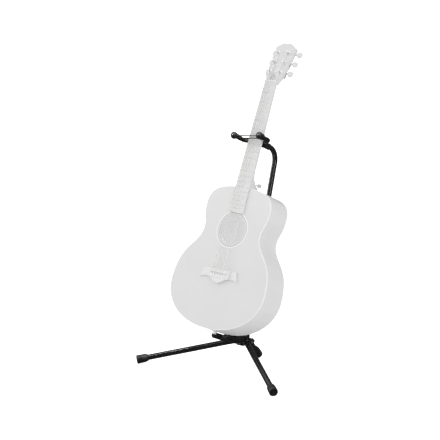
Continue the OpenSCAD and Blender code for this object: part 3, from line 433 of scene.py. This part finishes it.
# ---------------------------------------------------------------- strings
# Four strings are steel cores wound with fine phosphor bronze wire, and the two thinnest are
# plain drawn steel. Each is wound about three turns round its post, downwards under the hole.
NUT_AT, NUT_WIDE, BODY_DEPTH = 834.4, 5, 104.5
HEAD_ANGLE = math.radians(14)
POST_OUT, POST_D, POST_STEP, FIRST_POST = 20.5, 6.0, 37, 33
STRING_D = (1.4, 1.2, 1.1, 1.0, 0.9, 0.8)
WIRE_STEP = 0.0004
IN_HEAD = (IN_GUITAR @ Matrix.Translation((0, NUT_AT + NUT_WIDE, BODY_DEPTH))
           @ Matrix.Rotation(-HEAD_ANGLE, 4, "X"))
# Wound strings: the turns of bronze wire show as fine ribs, faded to a warm pale grey, with
# painted shade darkening the grooves between the turns.
bronze, tree, skin, where = new_material("phosphor bronze winding")
turn = add_node(tree, "ShaderNodeMapping", inputs={"Rotation": GRAIN_TURN},
                links=[(where, "Object", "Vector")])
wire = add_node(tree, "ShaderNodeTexWave",
                settings={"wave_type": "BANDS", "bands_direction": "Y"},
                inputs={"Scale": line_scale(WIRE_STEP)}, links=[(turn, 0, "Vector")])
bump = add_node(tree, "ShaderNodeBump", inputs={"Strength": 0.4, "Distance": 0.00008},
                links=[(wire, 1, "Height")])
link(tree, bump, 0, skin, "Normal")
# Painted shade: the colour follows the ribs, darker in the grooves between the turns of wire and
# paler on their crests.
link(tree, two_tones(tree, wire, 1, "#b9b7b3", "#e4e3e0"), 2, skin, "Base Color")
skin.inputs["Metallic"].default_value = 0.3
skin.inputs["Roughness"].default_value = 0.55
# Plain strings: smooth pale wire with a soft gleam.
plain_steel = metal("drawn steel string", "#dcdcdc", 0.5, 900, bare=0.3)

strings = from_cad("strings")
strings.data.materials.append(bronze)
strings.data.materials.append(plain_steel)
# The strings are one node, so each is found as one island of faces, and its place at the bridge
# says whether it is plain.
FIRST_PLAIN = 10
mesh = bmesh.new()
mesh.from_mesh(strings.data)
waiting = set(mesh.faces)
while waiting:
    group, edge_of = [], [waiting.pop()]
    while edge_of:
        face = edge_of.pop()
        group.append(face)
        for beside in (f for e in face.edges for f in e.link_faces if f in waiting):
            waiting.discard(beside)
            edge_of.append(beside)
    low = min((TO_GUITAR @ v.co for f in group for v in f.verts), key=lambda c: c.y)
    for face in group:
        face.material_index = 1 if low.x > FIRST_PLAIN else 0
mesh.to_mesh(strings.data)
mesh.free()

TURNS, STEPS, TOP_TURN = 3, 16, 6.2
for number in range(1, 7):
    side = -1 if number <= 3 else 1
    row = number - 1 if number <= 3 else 6 - number
    thick = STRING_D[number - 1]
    coil = bpy.data.curves.new(f"string_turns_{number}", "CURVE")
    coil.dimensions = "3D"
    coil.bevel_depth = thick / 2 * MM
    coil.bevel_resolution = 3
    coil.use_fill_caps = True
    path = coil.splines.new("NURBS")
    path.points.add(TURNS * STEPS)
    for n, point in enumerate(path.points):
        angle = 2 * math.pi * n / STEPS
        spread = (POST_D + thick) / 2 + 0.05
        spot = IN_HEAD @ Vector((side * POST_OUT + spread * math.cos(angle),
                                 FIRST_POST + POST_STEP * row + spread * math.sin(angle),
                                 TOP_TURN - thick * 1.05 * n / STEPS + thick))
        point.co = (*spot, 1)
    path.use_endpoint_u = True
    wound = bpy.data.objects.new(f"string_turns_{number}", coil)
    bpy.context.scene.collection.objects.link(wound)
    coil.materials.append(bronze if number <= 4 else plain_steel)
    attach(wound, f"post_{number}")

# ---------------------------------------------------------------- stand
# Mild steel tube with a satin black powder coat, rubber on everything that touches the guitar
# or the floor, and zinc-plated rivets.
# Powder coat: black with a faint orange peel, dust dulling it in patches, one clean highlight.
powder, tree, skin, where = new_material("satin black powder coat")
peel = add_node(tree, "ShaderNodeTexNoise", inputs={"Scale": 1400.0, "Detail": 2.0},
                links=[(where, "Object", "Vector")])
bump = add_node(tree, "ShaderNodeBump", inputs={"Strength": 0.2, "Distance": 0.00008},
                links=[(peel, 0, "Height")])
link(tree, bump, 0, skin, "Normal")
dust = add_node(tree, "ShaderNodeTexNoise", inputs={"Scale": 25.0, "Detail": 5.0},
                links=[(where, "Object", "Vector")])
gloss = add_node(tree, "ShaderNodeMapRange", inputs={"To Min": 0.2, "To Max": 0.3},
                 links=[(dust, 0, "Value")])
link(tree, gloss, 0, skin, "Roughness")
link(tree, two_tones(tree, dust, 0, "#0b0b0c", "#141416"), 2, skin, "Base Color")
skin.inputs["Coat Weight"].default_value = 0.5
skin.inputs["Coat Roughness"].default_value = 0.1

# Rubber: softer black than the tubes, with a broad dull sheen.
black_rubber = moulded("moulded black rubber", "#0d0d0e", 0.55, "#161617", 0.05, 1500)
# ABS of the collar and knob: fine spark-eroded grain, a little shinier than the rubber.
black_abs = moulded("moulded black ABS", "#0f0f10", 0.4, "#161617", 0.04, 1800)
# Zinc plate: small bright points on the rivets and screws.
zinc = metal("zinc-plated steel", "#c9c9cc", 0.28, 300)

for node, finish, edge in (
        ("hub", powder, 0.8), ("left_leg", powder, 0.4),
        ("right_leg", powder, 0.4), ("rear_leg", powder, 0.4),
        ("lower_tube", powder, 0.3), ("upper_tube", powder, 0.3),
        ("swivel_sleeve", powder, 0.6), ("yoke_frame", powder, 0.0),
        ("cradle_frame", powder, 0.3)):
    from_cad(node, edge, 3).data.materials.append(finish)
for node, finish, edge in (
        ("clamp_collar", black_abs, 0.8), ("clamp_knob", black_abs, 1.5),
        ("leg_rivets", zinc, 0.8), ("cradle_bolt", zinc, 0.6),
        ("yoke_sleeve", black_rubber, 0.8), ("neck_strap", black_rubber, 0.6),
        ("cradle_sleeves", black_rubber, 2.0)):
    from_cad(node, edge, 3).data.materials.append(finish)


# ---------------------------------------------------------------- rubber feet
# Each foot is a moulded rubber cap pushed over the leg's end, with three grip grooves, a rolled
# lip, and a flat worn where it stands on the floor.
def lathe(name, profile, place, steps=64):
    """A turned solid: (radius, height) points spun a full turn about Z, then put in place."""
    mesh = bmesh.new()
    points = [mesh.verts.new((r, 0, h)) for r, h in profile]
    edges = [mesh.edges.new(pair) for pair in zip(points, points[1:])]
    bmesh.ops.spin(mesh, geom=points + edges, cent=(0, 0, 0), axis=(0, 0, 1),
                   angle=2 * math.pi, steps=steps, use_merge=True)
    bmesh.ops.remove_doubles(mesh, verts=mesh.verts, dist=0.001)
    bmesh.ops.recalc_face_normals(mesh, faces=mesh.faces)
    made = finish_mesh(mesh, name, place)
    made.data.polygons.foreach_set("use_smooth", [True] * len(made.data.polygons))
    made.data.set_sharp_from_angle(angle=math.radians(50))
    return made


HUB = Vector((0, 4.396, 85))
FOOT_D, FOOT_LEN, LEG_D = 29.0, 38.0, 19.0
RIVET_OUT = 30
for name, turn, drop, length in (("left_foot", -141.5, 6, 336), ("right_foot", -38.5, 6, 336),
                                 ("rear_foot", 90, 18, 78)):
    reach = math.hypot(length, FOOT_D / 2)
    dip = math.asin((HUB.z - drop + 0.8) / reach) - math.atan(FOOT_D / 2 / length)
    place = (Matrix.Scale(MM, 4) @ Matrix.Translation(HUB)
             @ Matrix.Rotation(math.radians(turn), 4, "Z")
             @ Matrix.Translation((RIVET_OUT, 0, -drop))
             @ Matrix.Rotation(dip, 4, "Y") @ Matrix.Translation((length, 0, 0))
             @ Matrix.Rotation(math.radians(-90), 4, "Y"))
    half = FOOT_D / 2
    profile = [(0, 0.5), (half - 5, 0.5), (half - 4.4, 0.1), (half - 1.2, 0.1), (half - 0.3, 0.5),
               (half, 1.4), (half, 8.5)]
    for groove in (10.5, 14.5, 18.5):
        profile += [(half - 0.05, groove - 0.9), (half - 0.9, groove - 0.5),
                    (half - 0.9, groove + 0.5), (half - 0.12, groove + 0.9)]
    profile += [(half - 0.9, FOOT_LEN - 7), (half - 2.0, FOOT_LEN - 5.5),
                (half - 2.2, FOOT_LEN - 3.5), (half - 2.3, FOOT_LEN - 1.4),
                (half - 3.0, FOOT_LEN), (LEG_D / 2 + 0.1, FOOT_LEN),
                (LEG_D / 2 + 0.1, 4), (0, 4)]
    foot = lathe(name + "_moulded", profile, place)
    for vertex in foot.data.vertices:
        vertex.co.z = max(vertex.co.z, 0.0)
    foot.data.materials.append(black_rubber)
    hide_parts(name)
    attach(foot, frame["nodes"][name]["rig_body"])

# ---------------------------------------------------------------- rubber balls on the yoke
# A moulded rubber ball closes each prong: it has a fine parting line round its middle, a neck
# that grips the rubber tube, and a plated screw sunk in its end.
YOKE_AT, YOKE_TILT, YOKE_HALF = 638, math.radians(5), 50
IN_YOKE = (Matrix.Translation(GUITAR_TAIL)
           @ Matrix.Rotation(math.radians(90) - GUITAR_LEAN, 4, "X") @ Matrix.Scale(MM, 4)
           @ Matrix.Translation((0, YOKE_AT, 0)) @ Matrix.Rotation(YOKE_TILT, 4, "Z"))
BALL_R, BALL_W, PAD_R = 12.0, 143.98, 7.2
for side, label in ((-1, "left"), (1, "right")):
    place = IN_YOKE @ Matrix.Translation((side * YOKE_HALF, 0, BALL_W))
    profile = [(PAD_R + 0.1, -BALL_R + 1.2), (PAD_R + 0.3, -BALL_R + 0.6)]
    start = math.acos((PAD_R + 0.8) / BALL_R)
    for n in range(25):
        angle = -start + (start + math.radians(74)) * n / 24
        seam = 0.25 * math.exp(-(angle / 0.03) ** 2)
        profile.append(((BALL_R - seam) * math.cos(angle), (BALL_R - seam) * math.sin(angle)))
    profile += [(3.1, 11.3), (2.9, 9.8), (0, 9.8)]
    ball = lathe(f"yoke_ball_{label}", profile, place)
    ball.data.materials.append(black_rubber)
    screw = lathe(f"ball_screw_{label}", [(0, 9.6), (2.7, 9.6), (2.7, 10.6), (2.2, 11.3),
                                          (1.2, 11.7), (1.1, 10.9), (0, 10.9)], place, 32)
    screw.data.materials.append(zinc)
    for piece, slot in ((ball, "black_rubber"), (screw, "plated_steel")):
        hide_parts("yoke_balls")
        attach(piece, "yoke")
